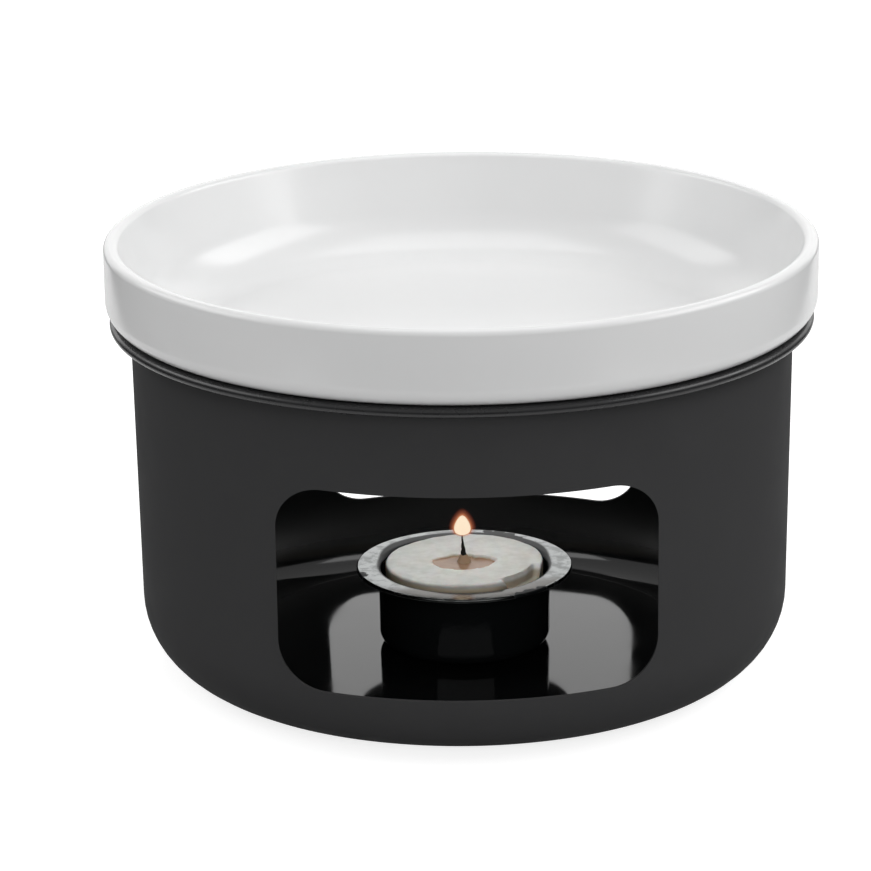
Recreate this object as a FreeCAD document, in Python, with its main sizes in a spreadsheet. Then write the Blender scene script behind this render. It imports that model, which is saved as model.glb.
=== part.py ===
import FreeCAD, Part
import math
import os
import Sketcher

# Cheese fondue set: a glazed dish that rests on the rim of a drawn steel stand, with a candle in a
# burner cup on the stand's floor. Millimetres, +Z up, origin on the table under the stand's centre.
# The front window faces -Y.

# Driving dimensions
SIZES = {
    # stand, drawn from one sheet
    "stand_sheet": 0.8,            # thickness of the sheet
    "rim_level": 84.7,             # top of the rim, which carries the dish
    "rim_setback": 0.9,            # how far the rim's edge stays inside the dish's band
    "rim_overhang": 4.7,           # how far the rim stands out from the wall
    "rim_bend": 0.5,               # inside of the bend from wall to rim
    "rim_bead": 2.2,               # thickness of the rim's edge, rolled in underneath to a solid bead
    "fold_flat": 0.1,              # flat left on a rolled or folded edge by the press, rim and lip alike
    "wall_draft": 1.2,             # how much the wall narrows from the rim down to the table
    "base_rounding": 18.2,         # outside rounding between wall and foot
    "foot_flat": 1.6,              # width of the ring that stands on the table
    "foot_bend": 0.6,              # inside of the bends of the raised floor's step
    "floor_rise": 3.1,             # top of the raised floor above the table
    # windows, punched front and rear along Y
    "front_window_width": 83.8,
    "front_window_centre": 0.7,    # to the right of the axis, seen from the front
    "front_sill": 16.2,
    "rear_window_width": 78.6,
    "rear_window_centre": 4.0,
    "rear_sill": 15.0,
    "window_head": 21.4,           # height of wall and rim left above the windows
    "window_corner": 10.4,
    # dish
    "dish_radius": 82.0,           # outside of the band
    "band_height": 17.6,           # from the stand's rim to the dish's rim
    "band_edge": 4.6,              # rounding of the band's lower edge
    "dish_rim_width": 3.1,         # thickness of the wall at the rim
    "dish_rim_edge": 1.5,          # rounding of the rim's two edges
    "dish_depth": 22.8,            # inside, from rim to floor
    "dish_wall_lean": 8.0,         # how far the wall's inside would narrow from the rim to the floor
    "dish_cove": 14.8,             # inside rounding between floor and wall
    "dish_floor": 5.0,             # thickness of the floor at its foot ring
    "well_clearance": 0.6,         # gap between the dish's well and the stand's mouth
    "well_wall": 1.0,              # how far the well's bottom corner stands outside the floor's
    "well_edge": 4.0,              # rounding of the well's bottom corner
    "well_shoulder": 0.8,          # rounding between the well and the seat on the rim
    "dish_foot_width": 13.9,       # of the foot ring under the well
    "dish_foot_height": 1.2,
    "dish_foot_edge": 0.8,
    # burner cup
    "cup_sheet": 0.5,
    "cup_radius": 20.1,            # outside of the wall
    "cup_height": 18.8,            # from the stand's floor to the top of the lip
    "cup_rounding": 3.3,           # outside rounding at the bottom
    "lip_overhang": 5.3,           # how far the lip stands out from the wall
    "lip_bend": 0.7,               # inside of the bend from wall to lip
    "lip_hem": 1.0,                # width of the lip's edge that is folded back underneath
    # candle
    "candle_clearance": 1.0,       # gap between the wax and the cup's wall
    "candle_height": 19.6,
    "candle_edge": 0.6,
    "candle_foot_gap": 0.3,        # how much tighter the wax's lower rounding is than the cup's
    "crater_radius": 7.2,
    "crater_depth": 1.8,
    "crater_slope": 1.8,           # how far the crater narrows towards its floor
    "crater_edge": 0.5,
    "crater_cove": 0.8,
    "collar_radius": 2.4,          # foot of the wax that climbs the wick
    "collar_rise": 1.1,            # top of that wax above the candle's top
    # wick and the tin clip that holds it
    "wick_radius": 0.8,
    "wick_tip_radius": 0.25,
    "wick_rise": 5.8,              # tip of the wick above the candle's top
    "clip_radius": 6.5,
    "clip_sheet": 0.3,
    "clip_neck_wall": 0.5,
    "clip_neck_height": 3.0,
}

# Dimensions that follow from the driving ones
FORMULAS = {
    "rim_radius": "dish_radius - rim_setback",
    "mouth_outer_radius": "rim_radius - rim_overhang",
    "mouth_radius": "mouth_outer_radius - stand_sheet",
    "base_radius": "mouth_outer_radius - wall_draft",
    "base_radius_inside": "base_radius - stand_sheet",
    "base_rounding_inside": "base_rounding - stand_sheet",
    "foot_bend_outside": "foot_bend + stand_sheet",
    "foot_radius": "base_radius - base_rounding - foot_flat - foot_bend_outside",
    "step_radius": "foot_radius + stand_sheet",
    "floor_underside": "floor_rise - stand_sheet",
    "rim_underside": "rim_level - stand_sheet",
    "rim_bend_outside": "rim_bend + stand_sheet",
    "bead_inside": "rim_radius - rim_bead",
    "bead_underside": "rim_level - rim_bead",
    "bead_rounding": "(rim_bead - fold_flat) / 2",
    "front_left": "front_window_centre - front_window_width / 2",
    "front_right": "front_window_centre + front_window_width / 2",
    "rear_left": "rear_window_centre - rear_window_width / 2",
    "rear_right": "rear_window_centre + rear_window_width / 2",
    "window_top": "rim_level - window_head",
    "dish_top": "rim_level + band_height",
    "dish_rim_inside": "dish_radius - dish_rim_width",
    "dish_floor_radius": "dish_rim_inside - dish_wall_lean",
    "dish_floor_level": "dish_top - dish_depth",
    "well_bottom": "dish_floor_level - dish_floor",
    "well_radius": "mouth_radius - well_clearance",
    "well_foot_radius": "dish_floor_radius + well_wall",
    "dish_foot_radius": "well_foot_radius - dish_foot_width",
    "dish_underside": "well_bottom + dish_foot_height",
    "cup_floor": "floor_rise + cup_sheet",
    "cup_bore": "cup_radius - cup_sheet",
    "cup_rounding_inside": "cup_rounding - cup_sheet",
    "lip_radius": "cup_radius + lip_overhang",
    "lip_level": "floor_rise + cup_height",
    "lip_underside": "lip_level - cup_sheet",
    "lip_bend_outside": "lip_bend + cup_sheet",
    "lip_hem_radius": "lip_radius - lip_hem",
    "lip_hem_underside": "lip_level - 2 * cup_sheet",
    "lip_fold": "cup_sheet - fold_flat / 2",
    "candle_radius": "cup_bore - candle_clearance",
    "candle_foot_rounding": "cup_rounding_inside - candle_foot_gap",
    "candle_top": "cup_floor + candle_height",
    "crater_floor": "candle_top - crater_depth",
    "crater_floor_radius": "crater_radius - crater_slope",
    "collar_top": "candle_top + collar_rise",
    "clip_top": "cup_floor + clip_sheet",
    "clip_neck_radius": "wick_radius + clip_neck_wall",
    "clip_neck_top": "clip_top + clip_neck_height",
    "wick_tip": "candle_top + wick_rise",
}

doc = FreeCAD.newDocument("fondue_set")


def fill_sheet():
    """Write every size to the spreadsheet, one row each, with its name as the cell's alias."""
    sheet = doc.addObject("Spreadsheet::Sheet", "Sizes")
    texts = {name: str(value) for name, value in SIZES.items()}
    texts.update({name: "=" + formula for name, formula in FORMULAS.items()})
    for row, name in enumerate(texts, start=1):
        sheet.set(f"A{row}", name)
        sheet.setAlias(f"B{row}", name)
    for row, text in enumerate(texts.values(), start=1):
        sheet.set(f"B{row}", text)
    doc.recompute()
    return sheet


def size(name):
    """A size's value in millimetres; no name means a place on the axis."""
    return 0.0 if name is None else float(sheet.get(name))


def new_body(label):
    body = doc.addObject("PartDesign::Body", label)
    body.Label = label
    return body


def new_sketch(body, role, name):
    """An empty sketch on one of the body's own origin planes."""
    plane = next(f for f in body.Origin.OriginFeatures if f.Role == role)
    sketch = body.newObject("Sketcher::SketchObject", name)
    sketch.AttachmentSupport = [(plane, "")]
    sketch.MapMode = "FlatFace"
    return sketch


def bind(sketch, index, label, name):
    """Name a dimension of a sketch and tie it to its cell."""
    sketch.renameConstraint(index, label)
    sketch.setExpression(f"Constraints.{label}", f"Sizes.{name}")


def pin_corner(sketch, number, across, up):
    """A construction point whose two distances from the origin are bound to the sheet."""
    point = sketch.addGeometry(Part.Point(FreeCAD.Vector(size(across), size(up), 0)), True)
    for kind, axis, name in (("DistanceX", -2, across), ("DistanceY", -1, up)):
        if name is None:
            sketch.addConstraint(Sketcher.Constraint("PointOnObject", point, 1, axis))
            continue
        index = sketch.addConstraint(Sketcher.Constraint(kind, -1, 1, point, 1, size(name)))
        bind(sketch, index, f"corner{number}_{kind[-1].lower()}", name)
    return point


def tangent_points(before, corner, after, radius):
    """Where a fillet of this radius leaves the two sides of a corner, and its centre."""
    back = (before - corner).normalize()
    ahead = (after - corner).normalize()
    half = back.getAngle(ahead) / 2
    reach = radius / math.tan(half)
    middle = (back + ahead).normalize()
    return corner + back * reach, corner + ahead * reach, corner + middle * (radius / math.sin(half))


def draw_outline(sketch, corners):
    """A closed outline of straight sides through the corners, each corner sharp or rounded.

    A corner is (across, up) or (across, up, radius), as names of sizes.
    """
    names = [tuple(c) + (None,) * (3 - len(c)) for c in corners]
    points = [FreeCAD.Vector(size(across), size(up), 0) for across, up, _ in names]
    pins = [pin_corner(sketch, i, across, up) for i, (across, up, _) in enumerate(names)]
    count = len(points)
    fillets = {}
    for i, (_, _, rounding) in enumerate(names):
        if rounding:
            fillets[i] = tangent_points(points[i - 1], points[i], points[(i + 1) % count], size(rounding))

    sides = []
    for i in range(count):
        j = (i + 1) % count
        start = fillets[i][1] if i in fillets else points[i]
        end = fillets[j][0] if j in fillets else points[j]
        sides.append(sketch.addGeometry(Part.LineSegment(start, end), False))
        for corner, side_end in ((i, 1), (j, 2)):
            if corner in fillets:
                constraint = Sketcher.Constraint("PointOnObject", pins[corner], 1, sides[i])
            else:
                constraint = Sketcher.Constraint("Coincident", sides[i], side_end, pins[corner], 1)
            sketch.addConstraint(constraint)

    for i, (start, end, centre) in fillets.items():
        radius = size(names[i][2])
        left_turn = (points[i] - points[i - 1]).cross(points[(i + 1) % count] - points[i]).z > 0
        first, last = (start, end) if left_turn else (end, start)
        angles = [math.atan2(p.y - centre.y, p.x - centre.x) for p in (first, last)]
        circle = Part.Circle(centre, FreeCAD.Vector(0, 0, 1), radius)
        arc = sketch.addGeometry(Part.ArcOfCircle(circle, *angles), False)
        arc_in, arc_out = (1, 2) if left_turn else (2, 1)
        sketch.addConstraint(Sketcher.Constraint("Tangent", sides[i - 1], 2, arc, arc_in))
        sketch.addConstraint(Sketcher.Constraint("Tangent", sides[i], 1, arc, arc_out))
        index = sketch.addConstraint(Sketcher.Constraint("Radius", arc, radius))
        bind(sketch, index, f"rounding{i}", names[i][2])


def turned(label, corners):
    """A body turned about Z from an outline in the XZ plane: across is the radius, up is Z."""
    body = new_body(label)
    sketch = new_sketch(body, "XZ_Plane", f"{label}_section")
    draw_outline(sketch, corners)
    turn = body.newObject("PartDesign::Revolution", f"{label}_turn")
    turn.Profile = sketch
    turn.ReferenceAxis = (sketch, ["V_Axis"])
    turn.Angle = 360
    doc.recompute()
    return body


def punch_window(body, side, front):
    """Cut a rounded window through one side of the wall, along Y from the middle plane."""
    left, right, sill = f"{side}_left", f"{side}_right", f"{side}_sill"
    sketch = new_sketch(body, "XZ_Plane", f"{side}_window_outline")
    draw_outline(sketch, [
        (left, sill, "window_corner"),
        (right, sill, "window_corner"),
        (right, "window_top", "window_corner"),
        (left, "window_top", "window_corner"),
    ])
    solid = body.Shape.Volume
    pocket = body.newObject("PartDesign::Pocket", f"{side}_window")
    pocket.Profile = sketch
    pocket.Type = "Length"
    pocket.setExpression("Length", "Sizes.rim_radius")
    pocket.Reversed = front
    doc.recompute()
    print(f"{side} window takes {solid - body.Shape.Volume:.0f} mm3 of sheet")


def make_stand():
    """One drawn sheet: raised floor, foot ring, rounded base, wall with two windows, beaded rim."""
    stand = turned("stand", [
        (None, "floor_underside"),
        ("foot_radius", "floor_underside", "foot_bend"),
        ("foot_radius", None, "foot_bend_outside"),
        ("base_radius", None, "base_rounding"),
        ("mouth_outer_radius", "rim_underside", "rim_bend"),
        ("bead_inside", "rim_underside"),
        ("bead_inside", "bead_underside", "bead_rounding"),
        ("rim_radius", "bead_underside", "bead_rounding"),
        ("rim_radius", "rim_level", "bead_rounding"),
        ("mouth_radius", "rim_level", "rim_bend_outside"),
        ("base_radius_inside", "stand_sheet", "base_rounding_inside"),
        ("step_radius", "stand_sheet", "foot_bend"),
        ("step_radius", "floor_rise", "foot_bend_outside"),
        (None, "floor_rise"),
    ])
    punch_window(stand, "front", True)
    punch_window(stand, "rear", False)
    return stand


def make_dish():
    """Glazed dish: its band sits on the stand's rim and its well hangs in the stand's mouth."""
    return turned("dish", [
        (None, "dish_underside"),
        ("dish_foot_radius", "dish_underside", "dish_foot_edge"),
        ("dish_foot_radius", "well_bottom"),
        ("well_foot_radius", "well_bottom", "well_edge"),
        ("well_radius", "rim_level", "well_shoulder"),
        ("dish_radius", "rim_level", "band_edge"),
        ("dish_radius", "dish_top", "dish_rim_edge"),
        ("dish_rim_inside", "dish_top", "dish_rim_edge"),
        ("dish_floor_radius", "dish_floor_level", "dish_cove"),
        (None, "dish_floor_level"),
    ])


def make_burner_cup():
    """Pressed cup with a flat lip whose edge is folded back underneath."""
    return turned("burner_cup", [
        (None, "floor_rise"),
        ("cup_radius", "floor_rise", "cup_rounding"),
        ("cup_radius", "lip_underside", "lip_bend"),
        ("lip_hem_radius", "lip_underside"),
        ("lip_hem_radius", "lip_hem_underside"),
        ("lip_radius", "lip_hem_underside", "lip_fold"),
        ("lip_radius", "lip_level", "lip_fold"),
        ("cup_bore", "lip_level", "lip_bend_outside"),
        ("cup_bore", "cup_floor", "cup_rounding_inside"),
        (None, "cup_floor"),
    ])


def make_candle():
    """Wax cast round the wick and its clip, with a burnt crater and a collar that climbs the wick."""
    return turned("candle", [
        ("clip_radius", "cup_floor"),
        ("candle_radius", "cup_floor", "candle_foot_rounding"),
        ("candle_radius", "candle_top", "candle_edge"),
        ("crater_radius", "candle_top", "crater_edge"),
        ("crater_floor_radius", "crater_floor", "crater_cove"),
        ("collar_radius", "crater_floor", "crater_cove"),
        ("wick_radius", "collar_top"),
        ("wick_radius", "clip_neck_top"),
        ("clip_neck_radius", "clip_neck_top"),
        ("clip_neck_radius", "clip_top"),
        ("clip_radius", "clip_top"),
    ])


def make_wick():
    """Cotton wick that stands on the clip's disc and burns down to a point."""
    return turned("wick", [
        (None, "clip_top"),
        ("wick_radius", "clip_top"),
        ("wick_radius", "collar_top"),
        ("wick_tip_radius", "wick_tip"),
        (None, "wick_tip"),
    ])


def make_wick_clip():
    """Tin disc with a neck that grips the wick."""
    return turned("wick_clip", [
        (None, "cup_floor"),
        ("clip_radius", "cup_floor"),
        ("clip_radius", "clip_top"),
        ("clip_neck_radius", "clip_top"),
        ("clip_neck_radius", "clip_neck_top"),
        ("wick_radius", "clip_neck_top"),
        ("wick_radius", "clip_top"),
        (None, "clip_top"),
    ])


def check_document():
    """Stop if any object of the document failed to build."""
    for item in doc.Objects:
        if {"Invalid", "Error"} & set(item.State):
            raise RuntimeError(f"{item.Label} did not build: {item.State}")


def write_part(body):
    shape = body.Shape
    if shape.isNull() or not shape.isValid() or len(shape.Solids) != 1:
        raise RuntimeError(f"{body.Label} isn't one valid solid")
    box = shape.optimalBoundingBox()
    print(f"{body.Label}: {shape.Volume:.0f} mm3, radius {box.XMax:.2f}, z {box.ZMin:.2f} to {box.ZMax:.2f}")
    shape.exportStep(f"parts/{body.Label}.step")


sheet = fill_sheet()
bodies = [make_stand(), make_dish(), make_burner_cup(), make_candle(), make_wick(), make_wick_clip()]
doc.recompute()
check_document()
os.makedirs("parts", exist_ok=True)
for body in bodies:
    write_part(body)
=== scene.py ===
# %% [markdown]
# A cheese fondue set for the table: a white glazed dish on a black steel stand, with a tealight in
# a pressed cup inside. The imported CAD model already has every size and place, so it is loaded first
# as a fixed frame. Everything below is built around it, in metres, with +Z up and the front window
# facing -Y.

import math

import bpy
from mathutils import Matrix, Vector


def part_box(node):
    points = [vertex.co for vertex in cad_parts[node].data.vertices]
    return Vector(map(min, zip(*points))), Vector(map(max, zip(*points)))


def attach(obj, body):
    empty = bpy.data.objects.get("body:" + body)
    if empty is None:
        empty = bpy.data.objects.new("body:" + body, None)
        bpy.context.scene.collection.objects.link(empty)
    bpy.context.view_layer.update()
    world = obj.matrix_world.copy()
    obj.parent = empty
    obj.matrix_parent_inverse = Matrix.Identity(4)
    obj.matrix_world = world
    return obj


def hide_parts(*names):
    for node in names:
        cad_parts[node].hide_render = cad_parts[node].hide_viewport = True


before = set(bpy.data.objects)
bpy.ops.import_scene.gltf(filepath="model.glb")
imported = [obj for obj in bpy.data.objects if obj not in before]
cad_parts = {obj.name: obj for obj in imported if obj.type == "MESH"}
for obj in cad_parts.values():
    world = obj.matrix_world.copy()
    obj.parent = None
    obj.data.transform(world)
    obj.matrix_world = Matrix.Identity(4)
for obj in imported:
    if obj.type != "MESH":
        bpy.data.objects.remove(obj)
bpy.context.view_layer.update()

# %% [markdown]
# The outlines below need the main sizes. A node's box gives its outer radius, top and bottom, so
# those are read from the frame. What a box can't show, such as the thickness of a sheet or the
# rounding of an edge, is named in the cell of its own piece.

# %% Read the main sizes from the frame
MM = 0.001

dish_low, dish_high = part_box("dish")
stand_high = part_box("stand")[1]
cup_low, cup_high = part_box("burner_cup")
candle_low, candle_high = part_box("candle")
wick_low, wick_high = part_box("wick")

DISH_RADIUS = dish_high.x
DISH_TOP = dish_high.z
WELL_BOTTOM = dish_low.z
RIM_RADIUS = stand_high.x
RIM_LEVEL = stand_high.z
CUP_FOOT = cup_low.z
LIP_RADIUS = cup_high.x
LIP_LEVEL = cup_high.z
WAX_RADIUS = candle_high.x
WAX_FOOT = candle_low.z
COLLAR_TOP = candle_high.z
WICK_FOOT = wick_low.z
WICK_TIP = wick_high.z
print(f"dish radius {DISH_RADIUS / MM:.1f} mm, rim of the stand {RIM_LEVEL / MM:.1f} mm above the table")

# %% [markdown]
# Node trees are easier to read when one short helper adds a node and fills its inputs. A value that
# is a socket is linked, and any other value is set.

# %% Helpers for node trees
def feed(tree, socket, value):
    """Link a socket to another one, or set it to a plain value."""
    if isinstance(value, bpy.types.NodeSocket):
        tree.links.new(value, socket)
    else:
        socket.default_value = value


def add(tree, kind, settings=None, **inputs):
    """Add a node; inputs are given by name, with _ for a blank, or as input_0, input_1 by number."""
    node = tree.nodes.new(kind)
    for name, value in (settings or {}).items():
        setattr(node, name, value)
    for name, value in inputs.items():
        key = int(name[6:]) if name.startswith("input_") else name.replace("_", " ")
        feed(tree, node.inputs[key], value)
    return node


def math_node(tree, operation, *values):
    """A Math node's result."""
    inputs = {f"input_{i}": value for i, value in enumerate(values)}
    return add(tree, "ShaderNodeMath", {"operation": operation}, **inputs).outputs[0]


def vector_node(tree, operation, *values):
    """A Vector Math node's result: a number for a length, a distance or a dot product, else a vector."""
    inputs = {f"input_{i}": value for i, value in enumerate(values)}
    outputs = add(tree, "ShaderNodeVectorMath", {"operation": operation}, **inputs).outputs
    return outputs["Value" if operation in ("LENGTH", "DISTANCE", "DOT_PRODUCT") else "Vector"]


def tidy(tree):
    """Set the nodes out from left to right in the order in which they feed each other."""
    column = {}
    for node in tree.nodes:
        before = [link.from_node for socket in node.inputs for link in socket.links]
        column[node] = 1 + max((column.get(other, 0) for other in before), default=-1)
    filled = {}
    for node, place in column.items():
        node.location = (place * 220, -filled.get(place, 0) * 260)
        filled[place] = filled.get(place, 0) + 1


# %% [markdown]
# Every rigid piece of this set is turned about one axis: the dish on a potter's wheel, the stand and
# the cup by pressing a round blank. So each is drawn as an outline, half of its cross-section, and
# one Geometry Nodes tree rounds the outline's corners and turns it. The outline is a plain mesh of
# points and edges, and each point carries its rounding as an attribute. The same outline in the CAD
# source makes the solid, so both agree.

# %% An outline as a mesh
def in_scene(name, data):
    """A new object in the scene, for a mesh, a lamp or a camera."""
    holder = bpy.data.objects.new(name, data)
    bpy.context.scene.collection.objects.link(holder)
    return holder


def outline_object(name, corners):
    """Points joined in a row. A corner is (radius, height), (radius, height, rounding) or with a mark."""
    rows = [tuple(corner) + (0.0,) * (4 - len(corner)) for corner in corners]
    mesh = bpy.data.meshes.new(name)
    mesh.from_pydata([(row[0], 0, row[1]) for row in rows], [(i, i + 1) for i in range(len(rows) - 1)], [])
    rounding = mesh.attributes.new("rounding", "FLOAT", "POINT")
    rounding.data.foreach_set("value", [row[2] for row in rows])
    mark = mesh.attributes.new("mark", "FLOAT", "POINT")
    mark.data.foreach_set("value", [row[3] for row in rows])
    return in_scene(name, mesh)


# %% [markdown]
# A tree starts with named inputs, so that its sizes can be set from outside. Fillet Curve rounds the
# corners, and Curve to Mesh sweeps the outline round a circle. A Screw modifier could turn it too,
# but a tree can go on to work on the surface that comes out.

# %% Round and turn an outline
def new_tree(name, **inputs):
    """An empty tree with a geometry input and output, and named inputs with their defaults."""
    kinds = {int: "NodeSocketInt", float: "NodeSocketFloat", bpy.types.Material: "NodeSocketMaterial"}
    tree = bpy.data.node_groups.new(name, "GeometryNodeTree")
    tree.interface.new_socket("Geometry", in_out="OUTPUT", socket_type="NodeSocketGeometry")
    tree.interface.new_socket("Geometry", in_out="INPUT", socket_type="NodeSocketGeometry")
    for title, value in inputs.items():
        label = title.replace("_", " ")
        socket = tree.interface.new_socket(label, in_out="INPUT", socket_type=kinds[type(value)])
        socket.default_value = value
    return tree, tree.nodes.new("NodeGroupInput").outputs


def named(tree, name):
    """The value of a named attribute."""
    node = add(tree, "GeometryNodeInputNamedAttribute", {"data_type": "FLOAT"}, Name=name)
    return node.outputs["Attribute"]


def rounded(tree, geometry, steps):
    """A curve with each corner of the outline rounded as its attribute says."""
    curve = add(tree, "GeometryNodeMeshToCurve", Mesh=geometry).outputs["Curve"]
    radius = named(tree, "rounding")
    fillet = add(tree, "GeometryNodeFilletCurve", {"mode": "POLY"}, Curve=curve, Radius=radius)
    feed(tree, fillet.inputs["Count"], steps)
    return fillet.outputs["Curve"]


def turned(tree, curve, steps):
    """Turn a curve in the XZ plane about Z into a closed surface that faces outwards."""
    guide = 50 * MM
    merge_below = 0.001 * MM
    flat = add(tree, "GeometryNodeTransform", Geometry=curve)
    flat.inputs["Rotation"].default_value = (math.radians(90), 0, 0)
    flat.inputs["Translation"].default_value = (-guide, 0, 0)
    circle = add(tree, "GeometryNodeCurvePrimitiveCircle", Resolution=steps, Radius=guide)
    upright = add(tree, "GeometryNodeSetCurveNormal", {"mode": "Z_UP"}, Curve=circle.outputs["Curve"])
    sweep = add(
        tree, "GeometryNodeCurveToMesh",
        Curve=upright.outputs["Curve"], Profile_Curve=flat.outputs["Geometry"],
    )
    closed = add(tree, "GeometryNodeMergeByDistance", Geometry=sweep.outputs["Mesh"], Distance=merge_below)
    return add(tree, "GeometryNodeFlipFaces", Mesh=closed.outputs["Geometry"]).outputs["Mesh"]


def turned_outline(tree, given):
    """The surface that a tree's own outline makes."""
    return turned(tree, rounded(tree, given["Geometry"], given["Rounding steps"]), given["Turn steps"])


# %% [markdown]
# The surface then gets its finish: smooth shading that stays sharp at clear edges, and a material on
# the right faces. The mark on the outline's points says which faces those are, so none is picked by
# hand, and a new size changes nothing about it.

# %% Shade and paint a surface
def above(tree, value, limit):
    """A field that is true where a value is greater than a limit."""
    settings = {"data_type": "FLOAT", "operation": "GREATER_THAN"}
    return add(tree, "FunctionNodeCompare", settings, A=value, B=limit).outputs["Result"]


def smooth(tree, geometry, sharp_from=35):
    """Smooth shading, with edges left sharp where two faces meet at a clear angle, in degrees."""
    even = add(tree, "GeometryNodeSetShadeSmooth", Geometry=geometry)
    angle = add(tree, "GeometryNodeInputMeshEdgeAngle").outputs["Unsigned Angle"]
    edges = add(tree, "GeometryNodeSetShadeSmooth", {"domain": "EDGE"}, Geometry=even.outputs["Geometry"])
    feed(tree, edges.inputs["Selection"], above(tree, angle, math.radians(sharp_from)))
    edges.inputs["Shade Smooth"].default_value = False
    return edges.outputs["Geometry"]


def painted(tree, geometry, material, where=None):
    """Give the faces a material, all of them or where a field says."""
    node = add(tree, "GeometryNodeSetMaterial", Geometry=geometry, Material=material)
    if where is not None:
        feed(tree, node.inputs["Selection"], where)
    return node.outputs["Geometry"]


def marked_above(tree, limit):
    """A field that is true where the outline's mark is above a limit."""
    return above(tree, named(tree, "mark"), limit)


def close_tree(tree, geometry):
    """End the tree with real geometry at its output."""
    real = add(tree, "GeometryNodeRealizeInstances", Geometry=geometry)
    output = tree.nodes.new("NodeGroupOutput")
    tree.links.new(real.outputs["Geometry"], output.inputs["Geometry"])
    tidy(tree)


# %% [markdown]
# A finished piece is a plain mesh: the modifier's inputs are set by their identifiers, the result is taken
# from the evaluated object, and its source goes with the modifier. An empty material slot from before the
# tree goes too. Then the piece is joined to the frame: it rides on the one body and stands for its CAD node.

# %% Turn an outline and its tree into a finished piece
def finished_piece(name, source, tree, slot, replaces=None, **inputs):
    """Evaluate a tree on its source object, keep the plain mesh, and hand it to the frame."""
    modifier = source.modifiers.new(tree.name, "NODES")
    modifier.node_group = tree
    for item in tree.interface.items_tree:
        title = item.name.replace(" ", "_")
        if item.item_type == "SOCKET" and item.in_out == "INPUT" and title in inputs:
            modifier[item.identifier] = inputs[title]
    evaluated = source.evaluated_get(bpy.context.evaluated_depsgraph_get())
    mesh = bpy.data.meshes.new_from_object(evaluated)
    mesh.name = name
    while None in mesh.materials[:]:
        mesh.materials.pop(index=mesh.materials[:].index(None))
    piece = in_scene(name, mesh)
    bpy.data.objects.remove(source)
    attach(piece, "root")
    if replaces:
        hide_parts(replaces)
    print(f"{name}: {len(mesh.polygons)} faces, materials {[m.name for m in mesh.materials]}")


# %% [markdown]
# Materials come next. Each one is a Principled BSDF. Numbers that are the same all over are set on
# its sockets, and only what varies over the surface is driven by textures, on Object coordinates,
# so the pattern stays on the piece from every side.

# %% Helpers for materials
def new_material(name, **values):
    """A material with one Principled BSDF, its plain values set by socket name."""
    material = bpy.data.materials.new(name)
    material.use_nodes = True
    shader = material.node_tree.nodes["Principled BSDF"]
    for title, value in values.items():
        shader.inputs[title.replace("_", " ")].default_value = value
    return material, material.node_tree, shader


def place_on(tree):
    """Where a point lies on the piece, as Object coordinates."""
    return tree.nodes.new("ShaderNodeTexCoord").outputs["Object"]


def noise(tree, scale, detail=2.0, roughness=0.5):
    """A Noise texture's grey value, fixed to the piece."""
    node = add(tree, "ShaderNodeTexNoise", Vector=place_on(tree), Scale=scale, Detail=detail)
    node.inputs["Roughness"].default_value = roughness
    return node.outputs[0]


def between(tree, value, low, high, from_low=0.0, from_high=1.0):
    """Carry a value from one range to another, held at the ends."""
    return add(
        tree, "ShaderNodeMapRange", {"interpolation_type": "SMOOTHSTEP"},
        Value=value, From_Min=from_low, From_Max=from_high, To_Min=low, To_Max=high,
    ).outputs["Result"]


def rising(tree, value, start, end):
    """0 up to the start, 1 from the end on, and a soft step between."""
    return between(tree, value, 0.0, 1.0, start, end)


def falling(tree, value, start, end):
    """1 up to the start, 0 from the end on, and a soft step between."""
    return between(tree, value, 1.0, 0.0, start, end)


def blend_colours(tree, share, first, second):
    """A mix of two colours."""
    node = add(tree, "ShaderNodeMix", {"data_type": "RGBA"})
    feed(tree, node.inputs["Factor"], share)
    feed(tree, node.inputs[6], first)
    feed(tree, node.inputs[7], second)
    return node.outputs[2]


def bump(tree, height, strength, distance, normal=None):
    """A Bump node's normal."""
    node = add(tree, "ShaderNodeBump", Height=height, Strength=strength, Distance=distance)
    if normal is not None:
        feed(tree, node.inputs["Normal"], normal)
    return node.outputs["Normal"]


# %% [markdown]
# The dish has a thick white glaze over pale clay. Glaze never lies quite flat: it pools and pulls
# while it melts, so its reflections waver. Two layers of soft bump do that, one as wide as a thumb
# and one like orange peel. The foot ring is wiped clean before firing, so it shows the bare clay.

# %% Glaze and bare clay
GLAZE_WHITE = (0.80, 0.80, 0.80, 1)
GLAZE_SHADE = (0.762, 0.767, 0.768, 1)
CLAY_PALE = (0.62, 0.56, 0.48, 1)
CLAY_DARK = (0.54, 0.48, 0.40, 1)

glaze, tree, shader = new_material("white_glaze", Roughness=0.18, IOR=1.5)
cloudy = noise(tree, 28.0, 3.0)
feed(tree, shader.inputs["Base Color"], blend_colours(tree, cloudy, GLAZE_SHADE, GLAZE_WHITE))
pooled = bump(tree, noise(tree, 34.0, 1.0), 0.35, 0.4 * MM)
peel = bump(tree, noise(tree, 420.0, 2.0), 0.05, 0.05 * MM, pooled)
feed(tree, shader.inputs["Normal"], peel)
tidy(tree)

clay, tree, shader = new_material("bare_clay", Roughness=0.85)
grain = noise(tree, 900.0, 3.0)
feed(tree, shader.inputs["Base Color"], blend_colours(tree, grain, CLAY_DARK, CLAY_PALE))
feed(tree, shader.inputs["Normal"], bump(tree, grain, 0.4, 0.1 * MM))
tidy(tree)
print("glaze and clay ready")

# %% [markdown]
# The stand is enamelled twice. Outside it is satin black, sprayed a little dusty, which spreads the
# light so that the wall looks charcoal. Inside it is glossy black and mirrors the candle, the cup
# and the rear window. On the rim's bead the dish has rubbed the satin to a shine, so it shows a light
# line above and below. They are three materials, because the gloss differs all over. Inside, the
# floor is the shiniest part, and the enamel is duller on the wall.

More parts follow.
